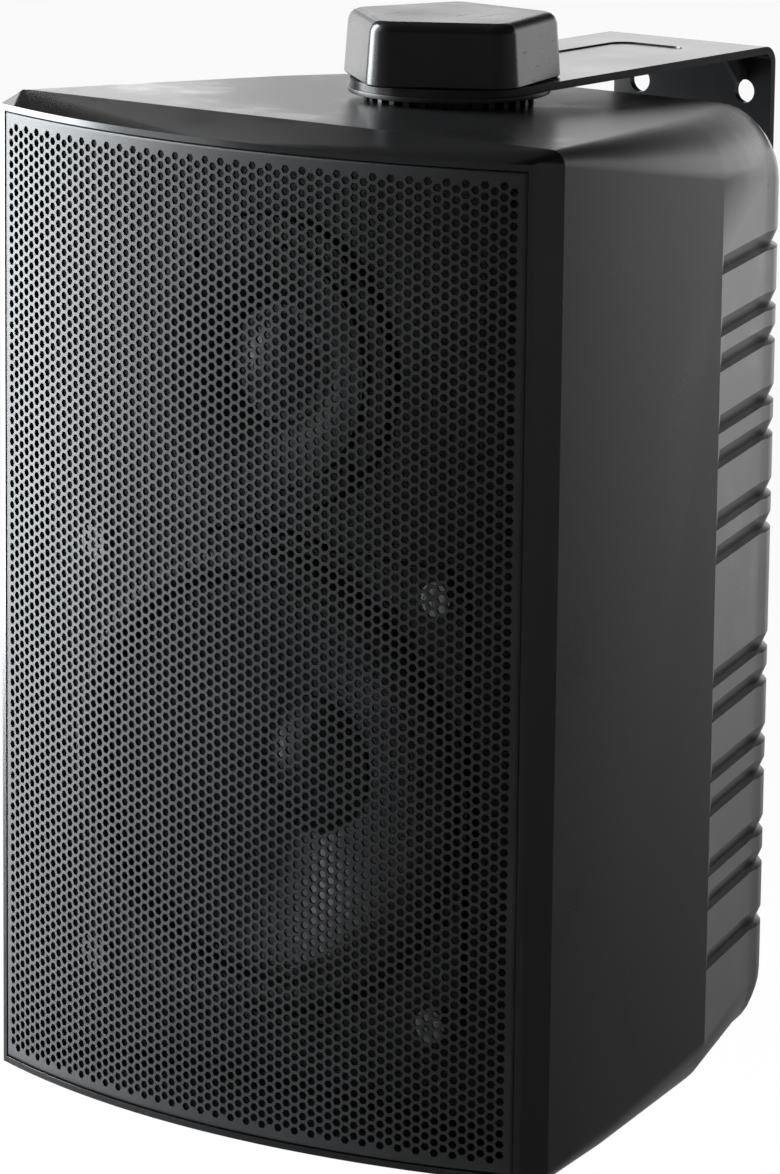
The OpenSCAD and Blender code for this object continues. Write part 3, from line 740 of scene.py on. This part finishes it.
def on_panel(place):
    """Whether a point is level with a panel's face and within the outline of its outer face."""
    spare = 0.5 * MM
    return (min(abs(abs(place.z) - level) for level in PANEL_LEVELS) < 0.05 * MM
            and abs(place.x) < PANEL_HALF_WIDTH + spare
            and PANEL_ENDS[0] - spare < place.y < PANEL_ENDS[1] + spare)


class SPEAKER_OT_bracket(bpy.types.Operator):
    """Finishes the folded steel wall bracket and makes its pressed panels shallower"""
    bl_idname = "speaker.bracket"
    bl_label = "Bracket"

    def execute(self, context):
        bm = solid_mesh("bracket")
        for v in bm.verts:
            if on_panel(v.co):
                v.co.z += math.copysign(sizes().panel_lift, v.co.z)
        round_edges(bm, sizes().edge * 1.5, 60.0)
        finish_piece(bm, "bracket_finished", ["bracket"])
        return {"FINISHED"}


# Stage

def area_lamp(name, place, width, height, power, tint=(1, 1, 1)):
    """A soft panel that faces the middle of the loudspeaker."""
    lamp = bpy.data.lights.new(name, "AREA")
    lamp.shape = "RECTANGLE"
    lamp.size, lamp.size_y = width, height
    lamp.energy = power
    lamp.color = tint
    obj = bpy.data.objects.new(name, lamp)
    obj.location = place
    obj.rotation_euler = (Vector(MIDDLE) - Vector(place)).to_track_quat("-Z", "Y").to_euler()
    bpy.context.scene.collection.objects.link(obj)


def paper_glow(f, way):
    """How bright the paper looks in a reflection that leaves in a level direction."""
    side = f.dot(way, BRIGHTEST_WAY)
    dim = f.between(side, -0.60, 0.05, FRONT_GLOW, SIDE_GLOW)
    return dim + f.between(side, 0.68, 0.98, 0.0, BACK_GLOW - SIDE_GLOW)


def kinds_of_ray(f):
    """The camera's rays, reflected ones and refracted ones, each as 1 or 0."""
    return [f.node("ShaderNodeLightPath", output=kind)
            for kind in ("Is Camera Ray", "Is Glossy Ray", "Is Transmission Ray")]


def pale_floor():
    """A wide floor that shows as white paper and keeps the shadow."""
    bm = bmesh.new()
    bmesh.ops.create_grid(bm, x_segments=4, y_segments=4, size=12.0)
    bmesh.ops.translate(bm, verts=bm.verts, vec=(0, 0, -sizes().floor_drop))
    mesh = bpy.data.meshes.new("floor")
    bm.to_mesh(mesh)
    bm.free()
    floor = bpy.data.objects.new("floor", mesh)
    bpy.context.scene.collection.objects.link(floor)
    material = bpy.data.materials.new("floor_paper")
    f = Finish(material)
    grain = f.noise(60.0, 4.0, 0.6)
    shader = f.tree.nodes["Principled BSDF"]
    tint = colours().floor
    f.feed(shader.inputs["Base Color"], f.blend(grain, rgba(tint, 0.98), rgba(tint, 1.02)))
    f.feed(shader.inputs["Roughness"], 0.75 + grain * 0.1)
    shader.inputs["Specular IOR Level"].default_value = 0.2
    level = f.node("ShaderNodeVectorMath", {"operation": "MULTIPLY"}, {
        0: f.node("ShaderNodeTexCoord", output="Object"), 1: (1, 1, 0)})
    way = f.node("ShaderNodeVectorMath", {"operation": "NORMALIZE"}, {0: level})
    away = f.node("ShaderNodeVectorMath", {"operation": "LENGTH"}, {0: level}, output="Value")
    seen, mirrored, through = kinds_of_ray(f)
    # In reflections the floor's glow is painted light: dim near the loudspeaker as a painted shadow of it,
    # and as bright as the paper far away
    strength = seen + through + mirrored * paper_glow(f, way) * f.between(away, 0.4, 4.0, 0.13, 1.0)
    glow = f.node("ShaderNodeEmission", None, {"Strength": strength})
    lit = Wire(f, shader.outputs[0])
    # The floor is mostly glowing paper; its lit share shows the loudspeaker's shadow
    share = (seen + through) * 0.94 + mirrored * 0.90
    mixed = f.node("ShaderNodeMixShader", None, {0: share, 1: lit, 2: glow})
    f.feed(f.tree.nodes["Material Output"].inputs["Surface"], mixed)
    mesh.materials.append(material)


def studio_air():
    """White to the camera; in reflections a bright band of paper low down and near darkness above."""
    world = bpy.data.worlds.new("studio")
    bpy.context.scene.world = world
    f = Finish(world)
    way = f.node("ShaderNodeTexCoord", output="Generated")
    height = f.node("ShaderNodeSeparateXYZ", None, {0: way}, output="Z")
    seen, mirrored, through = kinds_of_ray(f)
    band = paper_glow(f, way) * f.between(height, 0.12, 0.29, 1.0, 0.02)
    plain = 1.0 - seen - mirrored - through
    strength = seen + through + mirrored * band + plain * FILL_LIGHT
    shader = f.tree.nodes["Background"]
    shader.inputs["Color"].default_value = (1, 1, 1, 1)
    f.feed(shader.inputs["Strength"], strength)


def photographers_camera():
    """The camera at the photograph's place, turned as it was held."""
    camera = bpy.data.cameras.new("camera")
    camera.sensor_fit = "VERTICAL"
    camera.sensor_height = SENSOR_MM
    camera.lens = FOCAL_PIXELS * SENSOR_MM / PHOTO_HEIGHT_PIXELS
    camera.clip_start, camera.clip_end = 0.05, 60.0
    place = Vector(CAMERA_PLACE)
    level = (Vector(CAMERA_AIM) - place).to_track_quat("-Z", "Y")
    turn = level @ Quaternion((0, 0, 1), CAMERA_ROLL)
    obj = bpy.data.objects.new("camera", camera)
    obj.matrix_world = Matrix.Translation(place) @ turn.to_matrix().to_4x4()
    bpy.context.scene.collection.objects.link(obj)
    bpy.context.scene.camera = obj


class SPEAKER_OT_stage(bpy.types.Operator):
    """Makes the floor, the air of the studio, the lamps and the camera"""
    bl_idname = "speaker.stage"
    bl_label = "Stage"

    def execute(self, context):
        pale_floor()
        studio_air()
        photographers_camera()
        area_lamp("left_panel", (-1.45, -0.55, 0.45), width=0.8, height=1.8, power=82.0,
                  tint=(0.93, 0.97, 1.0))
        area_lamp("front_panel", (-1.15, -1.20, 0.45), width=0.6, height=1.8, power=7.5,
                  tint=(0.96, 0.98, 1.0))
        area_lamp("back_panel", (-1.25, 0.75, 0.10), width=0.8, height=0.8, power=3.0)
        bpy.context.scene.view_settings.view_transform = "Standard"
        return {"FINISHED"}


OPERATORS = (
    SPEAKER_OT_housing, SPEAKER_OT_front, SPEAKER_OT_grille, SPEAKER_OT_fasteners, SPEAKER_OT_woofer,
    SPEAKER_OT_tweeter, SPEAKER_OT_terminals, SPEAKER_OT_crossover, SPEAKER_OT_clamps,
    SPEAKER_OT_bracket, SPEAKER_OT_stage)


class SPEAKER_PT_pieces(bpy.types.Panel):
    """Shows a button for each group of pieces and the values a user would change"""
    bl_label = "Wall loudspeaker"
    bl_space_type = "VIEW_3D"
    bl_region_type = "UI"
    bl_category = "Loudspeaker"

    def draw(self, context):
        for operator in OPERATORS:
            self.layout.operator(operator.bl_idname)
        for group in (context.scene.speaker_sizes, context.scene.speaker_colours):
            box = self.layout.box()
            for key in group.bl_rna.properties.keys():
                if key not in ("rna_type", "name"):
                    box.prop(group, key)


CLASSES = (SpeakerSizes, SpeakerColours) + OPERATORS + (SPEAKER_PT_pieces,)


def register():
    for item in CLASSES:
        bpy.utils.register_class(item)
    bpy.types.Scene.speaker_sizes = PointerProperty(type=SpeakerSizes)
    bpy.types.Scene.speaker_colours = PointerProperty(type=SpeakerColours)


def unregister():
    del bpy.types.Scene.speaker_colours
    del bpy.types.Scene.speaker_sizes
    for item in reversed(CLASSES):
        bpy.utils.unregister_class(item)


def main():
    register()
    bpy.ops.speaker.housing()
    bpy.ops.speaker.front()
    bpy.ops.speaker.grille()
    bpy.ops.speaker.fasteners()
    bpy.ops.speaker.woofer()
    bpy.ops.speaker.tweeter()
    bpy.ops.speaker.terminals()
    bpy.ops.speaker.crossover()
    bpy.ops.speaker.clamps()
    bpy.ops.speaker.bracket()
    bpy.ops.speaker.stage()


if __name__ == "__main__":
    main()
